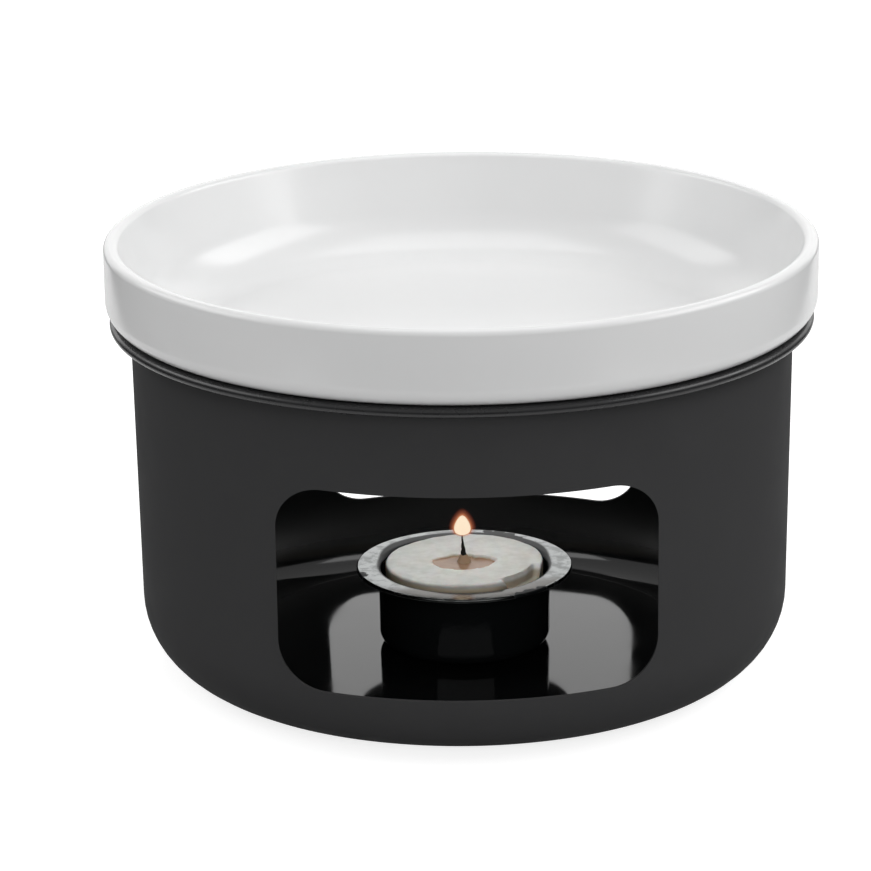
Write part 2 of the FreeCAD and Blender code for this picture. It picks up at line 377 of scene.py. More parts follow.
# %% Satin and glossy enamel
SATIN_BLACK = (0.052, 0.052, 0.053, 1)
SATIN_DUSTY = (0.045, 0.045, 0.046, 1)
BEAD_BLACK = (0.015, 0.015, 0.016, 1)
GLOSS_BLACK = (0.0035, 0.0038, 0.004, 1)
WALL_DULLNESS = 0.34
DULL_HEIGHTS = (3.5 * MM, 10.0 * MM)

satin, tree, shader = new_material("satin_enamel", Specular_IOR_Level=0.01)
dusty = noise(tree, 60.0, 4.0, 0.6)
feed(tree, shader.inputs["Base Color"], blend_colours(tree, dusty, SATIN_DUSTY, SATIN_BLACK))
feed(tree, shader.inputs["Roughness"], between(tree, dusty, 0.54, 0.64, 0.3, 0.7))
spray = noise(tree, 1500.0, 2.0)
feed(tree, shader.inputs["Normal"], bump(tree, spray, 0.12, 0.02 * MM))
tidy(tree)

rubbed, tree, shader = new_material("rubbed_enamel", Base_Color=BEAD_BLACK, IOR=1.5)
handled = noise(tree, 120.0, 3.0, 0.6)
feed(tree, shader.inputs["Roughness"], between(tree, handled, 0.22, 0.34, 0.3, 0.7))
feed(tree, shader.inputs["Normal"], bump(tree, handled, 0.15, 0.05 * MM))
tidy(tree)

gloss, tree, shader = new_material("gloss_enamel", Base_Color=GLOSS_BLACK, IOR=1.5)
flow = noise(tree, 45.0, 2.0)
level = add(tree, "ShaderNodeSeparateXYZ", Vector=place_on(tree)).outputs["Z"]
on_wall = between(tree, level, 0.0, WALL_DULLNESS, *DULL_HEIGHTS)
dullness = math_node(tree, "ADD", between(tree, flow, 0.05, 0.10, 0.35, 0.65), on_wall)
feed(tree, shader.inputs["Roughness"], dullness)
feed(tree, shader.inputs["Normal"], bump(tree, noise(tree, 90.0, 2.0), 0.08, 0.1 * MM))
tidy(tree)
print("enamels ready")

# %% [markdown]
# The dish's outline runs from the middle of its underside outwards, up the band, over the rim and
# back down to the middle of its floor. The well below the band hangs in the stand's mouth and keeps
# the dish from sliding off.

# %% The dish
RIM_WIDTH = 3.1 * MM
RIM_EDGE = 1.5 * MM
FLOOR_LEVEL = DISH_TOP - 22.8 * MM
FLOOR_RADIUS = DISH_RADIUS - RIM_WIDTH - 8.0 * MM
COVE = 14.8 * MM
FOOT_HEIGHT = 1.2 * MM
FOOT_INSIDE = 58.0 * MM
WELL_FOOT = 71.9 * MM
WELL_RADIUS = 75.0 * MM
BARE = 1.0
BARE_FROM = 0.9

dish_outline = outline_object("dish_outline", [
    (0, WELL_BOTTOM + FOOT_HEIGHT),
    (FOOT_INSIDE, WELL_BOTTOM + FOOT_HEIGHT, 0.8 * MM),
    (FOOT_INSIDE, WELL_BOTTOM, 0.4 * MM, BARE),
    (WELL_FOOT, WELL_BOTTOM, 4.0 * MM, BARE),
    (WELL_RADIUS, RIM_LEVEL, 0.8 * MM),
    (DISH_RADIUS, RIM_LEVEL, 4.6 * MM),
    (DISH_RADIUS, DISH_TOP, RIM_EDGE),
    (DISH_RADIUS - RIM_WIDTH, DISH_TOP, RIM_EDGE),
    (FLOOR_RADIUS, FLOOR_LEVEL, COVE),
    (0, FLOOR_LEVEL),
])

tree, given = new_tree("turned_dish", Turn_steps=256, Rounding_steps=14, Glaze=glaze, Clay=clay)
body = turned_outline(tree, given)
body = painted(tree, smooth(tree, body), given["Glaze"])
close_tree(tree, painted(tree, body, given["Clay"], marked_above(tree, BARE_FROM)))
finished_piece("dish_glazed", dish_outline, tree, "dish_glaze", "dish", Turn_steps=288)

# %% [markdown]
# The stand is one sheet of steel, so its outline goes out along the outside and comes back along
# the inside, one sheet away. At the rim the sheet's edge is rolled under into a bead. A mark on each
# point says which side it is on, and the tree uses the mark to choose the enamel.

# %% The stand's outline
OUTSIDE, BEAD, INSIDE = 0.0, 0.4, 1.0
STAND_SHEET = 0.8 * MM
FOOT_BEND = 0.6 * MM
BASE_ROUNDING = 18.2 * MM
FLOOR_RISE = CUP_FOOT
MOUTH_OUTER = RIM_RADIUS - 4.7 * MM
BASE_RADIUS = MOUTH_OUTER - 1.2 * MM
STEP_RADIUS = BASE_RADIUS - BASE_ROUNDING - 1.6 * MM - FOOT_BEND
RIM_BEND = 0.5 * MM
RIM_BEAD = 2.2 * MM
BEAD_ROUNDING = RIM_BEAD / 2 - 0.05 * MM
BEAD_INSIDE = RIM_RADIUS - RIM_BEAD

stand_outline = outline_object("stand_outline", [
    (0, FLOOR_RISE - STAND_SHEET, 0, OUTSIDE),
    (STEP_RADIUS - STAND_SHEET, FLOOR_RISE - STAND_SHEET, FOOT_BEND, OUTSIDE),
    (STEP_RADIUS - STAND_SHEET, 0, FOOT_BEND + STAND_SHEET, OUTSIDE),
    (BASE_RADIUS, 0, BASE_ROUNDING, OUTSIDE),
    (MOUTH_OUTER, RIM_LEVEL - STAND_SHEET, RIM_BEND, OUTSIDE),
    (BEAD_INSIDE, RIM_LEVEL - STAND_SHEET, 0, BEAD),
    (BEAD_INSIDE, RIM_LEVEL - RIM_BEAD, BEAD_ROUNDING, BEAD),
    (RIM_RADIUS, RIM_LEVEL - RIM_BEAD, BEAD_ROUNDING, BEAD),
    (RIM_RADIUS, RIM_LEVEL, BEAD_ROUNDING, BEAD),
    (MOUTH_OUTER - STAND_SHEET, RIM_LEVEL, RIM_BEND + STAND_SHEET, INSIDE),
    (BASE_RADIUS - STAND_SHEET, STAND_SHEET, BASE_ROUNDING - STAND_SHEET, INSIDE),
    (STEP_RADIUS, STAND_SHEET, FOOT_BEND, INSIDE),
    (STEP_RADIUS, FLOOR_RISE, FOOT_BEND + STAND_SHEET, INSIDE),
    (0, FLOOR_RISE, 0, INSIDE),
])
print("stand outline with", len(stand_outline.data.vertices), "corners")

# %% [markdown]
# The windows are punched after the stand is pressed, as on the real one: two rounded bars are made in
# the same tree and taken away with a Mesh Boolean. A face's mark is the mean of its points', which is
# 0.7 on the flat part of the rim. The gloss starts above that, so the flat keeps the bead's finish.

# %% The stand with its punched windows
BEAD_FROM = 0.2
INSIDE_FROM = 0.8
WINDOW_TOP = RIM_LEVEL - 21.4 * MM
WINDOW_CORNER = 10.4 * MM
CORNER_STEPS = 16
FRONT_WINDOW = {"width": 83.8 * MM, "centre": 0.7 * MM, "sill": 16.2 * MM}
REAR_WINDOW = {"width": 78.6 * MM, "centre": 4.0 * MM, "sill": 15.0 * MM}


def punch(tree, window, start):
    """A rounded bar as wide and high as the window, which runs forwards from the start."""
    height = WINDOW_TOP - window["sill"]
    sides = add(tree, "GeometryNodeCurvePrimitiveQuadrilateral", Width=window["width"], Height=height)
    sides = sides.outputs["Curve"]
    corners = add(tree, "GeometryNodeFilletCurve", {"mode": "POLY"}, Curve=sides, Count=CORNER_STEPS)
    corners.inputs["Radius"].default_value = WINDOW_CORNER
    line = add(tree, "GeometryNodeCurvePrimitiveLine")
    line.inputs["End"].default_value = (0, 0, RIM_RADIUS)
    bar = add(
        tree, "GeometryNodeCurveToMesh", Curve=line.outputs["Curve"], Profile_Curve=corners.outputs["Curve"]
    )
    bar.inputs["Fill Caps"].default_value = True
    placed = add(tree, "GeometryNodeTransform", Geometry=bar.outputs["Mesh"])
    placed.inputs["Rotation"].default_value = (math.radians(90), 0, 0)
    placed.inputs["Translation"].default_value = (window["centre"], start, window["sill"] + height / 2)
    return placed.outputs["Geometry"]


tree, given = new_tree(
    "pressed_stand", Turn_steps=256, Rounding_steps=14, Outside=satin, Bead=rubbed, Inside=gloss
)
shell = turned_outline(tree, given)
shell = painted(tree, shell, given["Outside"])
shell = painted(tree, shell, given["Bead"], marked_above(tree, BEAD_FROM))
shell = painted(tree, shell, given["Inside"], marked_above(tree, INSIDE_FROM))
punching = tree.nodes.new("GeometryNodeMeshBoolean")
punching.operation = "DIFFERENCE"
punching.solver = "EXACT"
tree.links.new(shell, punching.inputs["Mesh 1"])
for window, start in ((FRONT_WINDOW, 0.0), (REAR_WINDOW, RIM_RADIUS)):
    bar = painted(tree, punch(tree, window, start), given["Outside"])
    tree.links.new(bar, punching.inputs["Mesh 2"])
close_tree(tree, smooth(tree, punching.outputs["Mesh"]))
finished_piece("stand_pressed", stand_outline, tree, "stand_enamel", "stand", Turn_steps=320)

# %% [markdown]
# The burner cup is thin black steel with a flat lip. Its enamel has burnt off the lip, which shows bare
# metal, and only flakes of black are left at the lip's edge. At the front, the flat of the lip is painted a
# dark brownish grey, as a painted reflection of the wax's side in the metal. At the back, the black reaches
# further out over the lip than elsewhere, as painted shade in the gap between the lip and the wax. The metal
# is a mask on height and radius. The flakes are a few places by name, each with a ragged edge from a noise:
# its turn in degrees, its distance from the axis and its reach in millimetres. A painted picture could do the
# same, but a mask keeps sharp at any size and needs no file.

# %% Directions and distances round the axis
def level_direction(degrees):
    """A level direction by its turn: 0 is to the right and -90 to the front."""
    turn = math.radians(degrees)
    return (math.cos(turn), math.sin(turn), 0)


def from_axis(tree, where):
    """The distance of a point from the set's axis."""
    return vector_node(tree, "LENGTH", vector_node(tree, "MULTIPLY", where, (1, 1, 0)))


# %% The cup's enamel with its worn lip
CUP_RADIUS = LIP_RADIUS - 5.3 * MM
CUP_BLACK = (0.006, 0.007, 0.0075, 1)
LIP_METAL = (0.30, 0.313, 0.31, 1)
LIP_TARNISH = (0.145, 0.153, 0.15, 1)
# Painted reflection: the front of the lip's flat is painted this dark colour for the wax's side mirrored in
# the metal.
LIP_PAINTED_REFLECTION = (0.085, 0.08, 0.072, 1)
WORN_HEIGHTS = (LIP_LEVEL - 0.95 * MM, LIP_LEVEL - 0.55 * MM)
# Painted shade: at the back the black reaches this much further out, for the gap between lip and wax.
PAINTED_SHADE_AT_BACK = 2.5 * MM
TOWARDS_BACK = (2 * MM, 17 * MM)
WEAR_EDGE = 0.9 * MM
BURNT_DULLNESS = 0.42
FLAKE_EDGE = (0.7 * MM, 1.1 * MM)
FLAKE_RAGGED = 2.2 * MM
FLAKES = {
    "left": (196, 25.4, 2.2),
    "front right, outer": (-59, 25.3, 1.9),
    "front right, wide": (-52, 25.4, 2.4),
    "front right, end": (-45, 25.5, 1.9),
    "right, thin": (-33, 25.9, 1.3),
    "back, outer": (76, 24.0, 1.5),
    "back, middle": (70, 23.6, 2.0),
    "back, inner": (63, 23.0, 2.0),
    "back, end": (56, 22.4, 1.7),
}
TOWARDS_FRONT_REFLECTION = level_direction(-80)
REFLECTION_REACH = (12 * MM, 16.5 * MM)
LIP_FLAT_END = (LIP_RADIUS - 0.9 * MM, LIP_RADIUS - 0.5 * MM)

cup_enamel, tree, shader = new_material("worn_cup_enamel", IOR=1.5)
where = place_on(tree)
parts = add(tree, "ShaderNodeSeparateXYZ", Vector=where).outputs
radius = from_axis(tree, where)
worn = rising(tree, parts["Z"], *WORN_HEIGHTS)
# Black enamel stays on the lip's inner bend all round; the wider black at the back is painted shade in the
# gap between lip and wax.
kept = between(tree, parts["Y"], CUP_RADIUS, CUP_RADIUS + PAINTED_SHADE_AT_BACK, *TOWARDS_BACK)
beyond = rising(tree, radius, kept, math_node(tree, "ADD", kept, WEAR_EDGE))
metal = math_node(tree, "MULTIPLY", worn, beyond)
ragged = math_node(tree, "MULTIPLY", noise(tree, 900.0, 3.0, 0.6), FLAKE_RAGGED)
for degrees, distance, reach in FLAKES.values():
    x, y, _ = level_direction(degrees)
    away = vector_node(tree, "DISTANCE", where, (distance * MM * x, distance * MM * y, LIP_LEVEL))
    uneven = math_node(tree, "ADD", away, ragged)
    bare_here = rising(tree, uneven, *(reach * MM + edge for edge in FLAKE_EDGE))
    metal = math_node(tree, "MULTIPLY", metal, bare_here)
tarnish = rising(tree, noise(tree, 330.0, 4.0, 0.65), 0.42, 0.62)
bare_metal = blend_colours(tree, tarnish, LIP_METAL, LIP_TARNISH)
# A painted reflection of the wax's side on the front of the lip's flat.
towards_reflection = rising(tree, vector_node(tree, "DOT_PRODUCT", where, TOWARDS_FRONT_REFLECTION), *REFLECTION_REACH)
painted_reflection_mask = math_node(tree, "MULTIPLY", towards_reflection, falling(tree, radius, *LIP_FLAT_END))
bare_metal = blend_colours(tree, painted_reflection_mask, bare_metal, LIP_PAINTED_REFLECTION)
feed(tree, shader.inputs["Metallic"], metal)
feed(tree, shader.inputs["Base Color"], blend_colours(tree, metal, CUP_BLACK, bare_metal))
burnt = math_node(tree, "MULTIPLY", worn, between(tree, metal, BURNT_DULLNESS, 0.0))
feed(tree, shader.inputs["Roughness"], math_node(tree, "ADD", burnt, between(tree, metal, 0.08, 0.14)))
feed(tree, shader.inputs["Normal"], bump(tree, noise(tree, 260.0, 3.0), 0.35, 0.12 * MM))
tidy(tree)
print("cup enamel with", len(FLAKES), "flakes")

# %% [markdown]
# The cup itself is one more outline. Its bottom corner is rounded and its wall turns out into the
# flat lip. The lip ends in a narrow hem, where the sheet is folded under to twice its thickness.

# %% The burner cup
CUP_SHEET = 0.5 * MM
CUP_ROUNDING = 3.3 * MM
LIP_BEND = 0.7 * MM
LIP_HEM = LIP_RADIUS - 1.0 * MM
LIP_FOLD = 0.45 * MM

cup_outline = outline_object("cup_outline", [
    (0, CUP_FOOT),
    (CUP_RADIUS, CUP_FOOT, CUP_ROUNDING),
    (CUP_RADIUS, LIP_LEVEL - CUP_SHEET, LIP_BEND),
    (LIP_HEM, LIP_LEVEL - CUP_SHEET),
    (LIP_HEM, LIP_LEVEL - 2 * CUP_SHEET),
    (LIP_RADIUS, LIP_LEVEL - 2 * CUP_SHEET, LIP_FOLD),
    (LIP_RADIUS, LIP_LEVEL, LIP_FOLD),
    (CUP_RADIUS - CUP_SHEET, LIP_LEVEL, LIP_BEND + CUP_SHEET),
    (CUP_RADIUS - CUP_SHEET, CUP_FOOT + CUP_SHEET, CUP_ROUNDING - CUP_SHEET),
    (0, CUP_FOOT + CUP_SHEET),
])

tree, given = new_tree("pressed_cup", Turn_steps=192, Rounding_steps=10, Enamel=cup_enamel)
body = turned_outline(tree, given)
close_tree(tree, painted(tree, smooth(tree, body), given["Enamel"]))
finished_piece("burner_cup_pressed", cup_outline, tree, "cup_enamel", "burner_cup")

# %% [markdown]
# Wax is pale and slightly see-through, so light spreads inside it. Its side is painted a warm brown, as a
# painted glow of the flame's light through the wax, and the side at the front right, where the edge is
# chipped, is painted darker, as painted shade. Round the wick and in the crater the wax is painted browner
# still, as painted glow and painted shade. Those places are masks on the distance from the axis, the height
# and the direction.

# %% Wax and melted wax
WAX_PALE = (0.655, 0.66, 0.63, 1)
WAX_GREY = (0.55, 0.55, 0.515, 1)
# Painted glow: the side is painted a warm brown for the flame's light shining through the wax.
WAX_SIDE_PAINTED_GLOW = (0.66, 0.57, 0.42, 1)
# Painted shade: the side at the front right, round the chip, is painted a dark brown.
WAX_SHADED_CHIP = (0.36, 0.31, 0.24, 1)
# Painted glow and painted shade: the wax round the wick and in the crater is painted brown.
WAX_PAINTED_GLOW_SHADE = (0.40, 0.27, 0.175, 1)
# The pool's brown is partly the darker look of melted wax and partly painted glow of the flame and painted
# shade in the crater.
POOL_BROWN = (0.25, 0.145, 0.085, 1)
POOL_LIGHT = (0.37, 0.24, 0.155, 1)
WAX_TOP = COLLAR_TOP - 1.1 * MM
SIDE_RADII = (WAX_RADIUS - 3.4 * MM, WAX_RADIUS - 2.2 * MM)
SIDE_HEIGHTS = (WAX_TOP - 1.6 * MM, WAX_TOP - 0.7 * MM)
CRATER_GLOW_RADII = (6.0 * MM, 8.4 * MM)
CRATER_GLOW_HEIGHTS = (WAX_TOP - 0.9 * MM, WAX_TOP - 0.2 * MM)
BY_WICK = (2.2 * MM, 3.4 * MM)
TOWARDS_CHIP = level_direction(-37)
CHIP_SHADE_FACING = (0.84, 0.95)


def facing(tree, where, radius, direction):
    """The cosine of the turn from a level direction to a point, as seen from the axis."""
    return math_node(tree, "DIVIDE", vector_node(tree, "DOT_PRODUCT", where, direction), radius)


wax, tree, shader = new_material(
    "pale_wax", Roughness=0.48, IOR=1.44, Subsurface_Weight=0.25, Subsurface_Scale=1.5 * MM
)
mottled = noise(tree, 260.0, 4.0, 0.6)
where = place_on(tree)
level = add(tree, "ShaderNodeSeparateXYZ", Vector=where).outputs["Z"]
radius = from_axis(tree, where)
top_colour = blend_colours(tree, rising(tree, mottled, 0.3, 0.7), WAX_GREY, WAX_PALE)
# Painted shade on the side that faces the front right.
chip_shade = rising(tree, facing(tree, where, radius, TOWARDS_CHIP), *CHIP_SHADE_FACING)
# The side's colour is painted light: a warm glow, with painted shade at the front right.
painted_side_colour = blend_colours(tree, chip_shade, WAX_SIDE_PAINTED_GLOW, WAX_SHADED_CHIP)
outside = rising(tree, radius, *SIDE_RADII)
on_side = math_node(tree, "MULTIPLY", outside, falling(tree, level, *SIDE_HEIGHTS))
with_side = blend_colours(tree, on_side, top_colour, painted_side_colour)
# Round the wick and down in the crater, the colour is painted glow and painted shade.
inside = falling(tree, radius, *CRATER_GLOW_RADII)
crater_glow_shade = math_node(tree, "MULTIPLY", inside, falling(tree, level, *CRATER_GLOW_HEIGHTS))
painted_glow_shade = math_node(tree, "MAXIMUM", crater_glow_shade, falling(tree, radius, *BY_WICK))
feed(tree, shader.inputs["Base Color"], blend_colours(tree, painted_glow_shade, with_side, WAX_PAINTED_GLOW_SHADE))
feed(tree, shader.inputs["Normal"], bump(tree, mottled, 0.3, 0.15 * MM))
tidy(tree)

melted, tree, shader = new_material("melted_wax", Roughness=0.24, IOR=1.4)
depth = noise(tree, 420.0, 2.0)
# Partly painted: the brown stands in for the flame's glow and the shade in the crater.
feed(tree, shader.inputs["Base Color"], blend_colours(tree, depth, POOL_BROWN, POOL_LIGHT))
feed(tree, shader.inputs["Normal"], bump(tree, depth, 0.1, 0.05 * MM))
tidy(tree)
print("wax ready")

# %% [markdown]
# The tealight has burnt for a few minutes only, and a ragged half-moon of wax has melted round the
# wick. Sculpting could shape such a crater, but a rule keeps it repeatable: a Float Curve gives the
# crater's radius for each direction round the wick, and a noise frays it.

# %% The crater's edge
CRATER_RADIUS = 7.2 * MM
CRATER_FRAY = 1.0 * MM
CRATER_SLOPE = 1.0 * MM
CRATER_EDGE = [
    (0.0, 1.0), (0.06, 0.72), (0.12, 0.42), (0.20, 0.50), (0.27, 0.46), (0.34, 0.62), (0.41, 0.66),
    (0.48, 1.0), (0.60, 1.0), (0.75, 1.0), (0.88, 1.0), (1.0, 1.0),
]


def drawn(tree, value, points):
    """A Float Curve's value, with the curve led through the points in straight lines."""
    node = add(tree, "ShaderNodeFloatCurve", Value=value)
    curve = node.mapping.curves[0]
    curve.points[0].location = points[0]
    curve.points[1].location = points[-1]
    for point in points[1:-1]:
        curve.points.new(*point)
    for point in curve.points:
        point.handle_type = "VECTOR"
    node.mapping.update()
    return node.outputs["Value"]


def crater_mask(tree, where, parts, radius):
    """1 inside the crater's ragged edge and 0 outside."""
    turn = math_node(tree, "DIVIDE", math_node(tree, "ARCTAN2", parts["Y"], parts["X"]), 2 * math.pi)
    share = math_node(tree, "WRAP", turn, 1.0, 0.0)
    ragged = add(tree, "ShaderNodeTexNoise", Vector=where, Scale=700.0, Detail=2.0).outputs[0]
    limit = math_node(tree, "MULTIPLY", drawn(tree, share, CRATER_EDGE), CRATER_RADIUS)
    limit = math_node(tree, "MULTIPLY_ADD", ragged, CRATER_FRAY, limit)
    return rising(tree, math_node(tree, "SUBTRACT", limit, radius), 0.0, CRATER_SLOPE)


# %% [markdown]
# The candle's outline is turned as before, but cut into short steps, so that there are enough points
# to move. In this order the points of the top sink into the crater or rise in a collar round the
# wick, the edge slumps on the left and breaks off at the front right, and all points waver a little.

# %% The candle
CRATER_DEPTH = 1.5 * MM
COLLAR_RADIUS = 2.3 * MM
COLLAR_FLAT = 0.7 * MM
TOP_FROM = WAX_TOP - 0.05 * MM
CHIP_TURNS = (0.915, 0.955)
CHIP_RADII = (16.4 * MM, 17.0 * MM)
CHIP_DEPTH = 2.6 * MM
SLUMP = 0.5 * MM
SLUMP_ACROSS = (-14 * MM, 2 * MM)
SLUMP_DEPTH = 3.5 * MM
WAVE_LEVEL = 0.62
WAVE_GAIN = 2.0


def moved(tree, geometry, offset, where=None):
    """Move the points by an offset, all of them or where a field says."""
    node = add(tree, "GeometryNodeSetPosition", Geometry=geometry, Offset=offset)
    if where is not None:
        feed(tree, node.inputs["Selection"], where)
    return node.outputs["Geometry"]


def upwards(tree, height):
    """An offset along Z."""
    return add(tree, "ShaderNodeCombineXYZ", Z=height).outputs["Vector"]


candle_outline = outline_object("candle_outline", [
    (0, WAX_FOOT),
    (WAX_RADIUS, WAX_FOOT, 2.5 * MM),
    (WAX_RADIUS, WAX_TOP, 0.6 * MM),
    (0, WAX_TOP),
])

tree, given = new_tree(
    "burnt_candle", Turn_steps=192, Rounding_steps=6,
    Step_length=0.3 * MM, Roughen=0.25 * MM, Seed=4.0, Wax=wax,
)
line = rounded(tree, given["Geometry"], given["Rounding steps"])
steps = add(tree, "GeometryNodeResampleCurve", {"mode": "LENGTH"}, Curve=line, Length=given["Step length"])
body = turned(tree, steps.outputs["Curve"], given["Turn steps"])

where = add(tree, "GeometryNodeInputPosition").outputs["Position"]
parts = add(tree, "ShaderNodeSeparateXYZ", Vector=where).outputs
radius = from_axis(tree, where)
climb = between(tree, radius, CRATER_DEPTH + COLLAR_TOP - WAX_TOP, 0.0, COLLAR_FLAT, COLLAR_RADIUS)
drop = math_node(tree, "MULTIPLY_ADD", crater_mask(tree, where, parts, radius), -CRATER_DEPTH, climb)
body = moved(tree, body, upwards(tree, drop), above(tree, parts["Z"], TOP_FROM))

chipped = between(tree, facing(tree, where, radius, TOWARDS_CHIP), 0.0, CHIP_DEPTH, *CHIP_TURNS)
broken = math_node(tree, "MULTIPLY", chipped, rising(tree, radius, *CHIP_RADII))
slumped = math_node(tree, "ADD", broken, between(tree, parts["X"], SLUMP, 0.0, *SLUMP_ACROSS))
near_top = between(tree, parts["Z"], 0.0, -1.0, WAX_TOP - SLUMP_DEPTH, WAX_TOP)
body = moved(tree, body, upwards(tree, math_node(tree, "MULTIPLY", slumped, near_top)))

# Most of the noise lies under WAVE_LEVEL, so the wax wavers inwards more than outwards.
wave = add(tree, "ShaderNodeTexNoise", {"noise_dimensions": "4D"}, Vector=where, W=given["Seed"], Scale=240.0)
rough = math_node(tree, "SUBTRACT", wave.outputs[0], WAVE_LEVEL)
rough = math_node(tree, "MULTIPLY", rough, given["Roughen"])
rough = math_node(tree, "MULTIPLY", rough, WAVE_GAIN)
normal = add(tree, "GeometryNodeInputNormal").outputs["Normal"]
push = add(tree, "ShaderNodeVectorMath", {"operation": "SCALE"}, input_0=normal, Scale=rough)
body = moved(tree, body, push.outputs["Vector"])
close_tree(tree, painted(tree, smooth(tree, body, sharp_from=60), given["Wax"]))
finished_piece("candle_burnt", candle_outline, tree, "wax", "candle")

# %% [markdown]
# Melted wax lies level in the crater, so the pool is a plain turned disc. It reaches a little way
# under the crater's ragged edge, and the wax itself hides where it ends.

# %% The pool of melted wax
POOL_LEVEL = WAX_TOP - 0.75 * MM
POOL_FOOT = WAX_TOP - CRATER_DEPTH - 0.5 * MM
POOL_RADIUS = CRATER_RADIUS + 0.6 * MM

pool_outline = outline_object("pool_outline", [
    (0, POOL_FOOT),
    (CRATER_RADIUS, POOL_FOOT),
    (POOL_RADIUS, POOL_LEVEL),
    (0, POOL_LEVEL),
])
tree, given = new_tree("melted_pool", Turn_steps=96, Rounding_steps=1, Wax=melted)
body = turned_outline(tree, given)
close_tree(tree, painted(tree, smooth(tree, body), given["Wax"]))
finished_piece("melted_pool", pool_outline, tree, "wax")

# %% [markdown]
# The wick is three cotton strands, twisted and charred. They follow a rule, so a tree makes them:
# one line is copied three times, each copy is wound round a centre line that leans as the real wick
# does, and a small circle is swept along them, thinner towards the tip.

# %% The wick
WICK_RADIUS = 0.8 * MM
STRAND_SPREAD = WICK_RADIUS * 0.45
STRAND_RADIUS = WICK_RADIUS * 0.5
BURNT_ALONG = (0.78, 1.0)
TIP_SHARE = 0.22
LEAN_ALONG = (0.7, 1.1)
WICK_LEAN = -0.55 * MM
CHAR_BLACK = (0.004, 0.004, 0.005, 1)
CHAR_GREY = (0.03, 0.027, 0.025, 1)

char, tree, shader = new_material("charred_cotton", Roughness=0.9)
ash = noise(tree, 1400.0, 3.0)
feed(tree, shader.inputs["Base Color"], blend_colours(tree, ash, CHAR_BLACK, CHAR_GREY))
feed(tree, shader.inputs["Normal"], bump(tree, ash, 0.6, 0.1 * MM))
tidy(tree)

wick_line = outline_object("wick_line", [(0, WICK_FOOT), (0, WICK_TIP - 0.1 * MM)])
tree, given = new_tree("twisted_wick", Strands=3, Twists=5.0, Points=90, Char=char)
line = add(tree, "GeometryNodeMeshToCurve", Mesh=given["Geometry"]).outputs["Curve"]
dense = add(tree, "GeometryNodeResampleCurve", {"mode": "COUNT"}, Curve=line, Count=given["Points"])
copies = add(
    tree, "GeometryNodeDuplicateElements", {"domain": "SPLINE"},
    Geometry=dense.outputs["Curve"], Amount=given["Strands"],
)
along = add(tree, "GeometryNodeSplineParameter").outputs["Factor"]
start = math_node(tree, "DIVIDE", copies.outputs["Duplicate Index"], given["Strands"])
turns = math_node(tree, "MULTIPLY_ADD", along, given["Twists"], start)
angle = math_node(tree, "MULTIPLY", turns, 2 * math.pi)
burnt = between(tree, along, 1.0, TIP_SHARE, *BURNT_ALONG)
spread = math_node(tree, "MULTIPLY", burnt, STRAND_SPREAD)
lean = between(tree, along, 0.0, WICK_LEAN, *LEAN_ALONG)
side = math_node(tree, "MULTIPLY_ADD", math_node(tree, "COSINE", angle), spread, lean)
ahead = math_node(tree, "MULTIPLY", math_node(tree, "SINE", angle), spread)
offset = add(tree, "ShaderNodeCombineXYZ", X=side, Y=ahead).outputs["Vector"]
wound = moved(tree, copies.outputs["Geometry"], offset)
strand = add(tree, "GeometryNodeCurvePrimitiveCircle", Resolution=10, Radius=STRAND_RADIUS)
sweep = add(
    tree, "GeometryNodeCurveToMesh", Curve=wound, Profile_Curve=strand.outputs["Curve"], Scale=burnt
)
sweep.inputs["Fill Caps"].default_value = True
close_tree(tree, painted(tree, smooth(tree, sweep.outputs["Mesh"], sharp_from=60), given["Char"]))
finished_piece("wick_twisted", wick_line, tree, "wick_cotton", "wick")

# %% [markdown]
# The tin disc under the wick stays as the CAD made it, because the wax hides it. It still gets its
# own finish, for a user who takes the candle apart.

# %% The wick clip's tin
TIN_GREY = (0.60, 0.60, 0.61, 1)

tin, tree, shader = new_material("tinned_steel", Metallic=1.0, Base_Color=TIN_GREY)
scratched = noise(tree, 700.0, 2.0)
feed(tree, shader.inputs["Roughness"], between(tree, scratched, 0.25, 0.45))
tidy(tree)
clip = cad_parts["wick_clip"]
clip.data.materials.clear()
clip.data.materials.append(tin)
print("wick clip keeps its CAD mesh")

# %% [markdown]
# A flame glows from within, and its edge fades. Thin shells of light, one inside the other, do that
# without a volume, which a plain mesh can't hold. The innermost is the dim cone over the wick, the
# next two are the bright mantle, and the others are a faint red glow. Each shell carries its number
# as an attribute, from 0 for the innermost to 1 for the outermost. The material turns that number
# into a colour with a Color Ramp, and into how solid the shell is with a Float Curve.

# %% The flame's light
SHELL_COLOURS = [
    (0.0, (0.80, 0.50, 0.38, 1)),
    (0.143, (0.98, 1.0, 0.79, 1)),
    (0.286, (1.0, 0.97, 0.74, 1)),
    (0.43, (1.0, 0.40, 0.18, 1)),
    (1.0, (1.0, 0.20, 0.10, 1)),
]
SHELL_SOLID = [
    (0.0, 0.30), (0.143, 0.75), (0.286, 0.60), (0.43, 0.14), (0.57, 0.07), (0.72, 0.035), (1.0, 0.016),
]

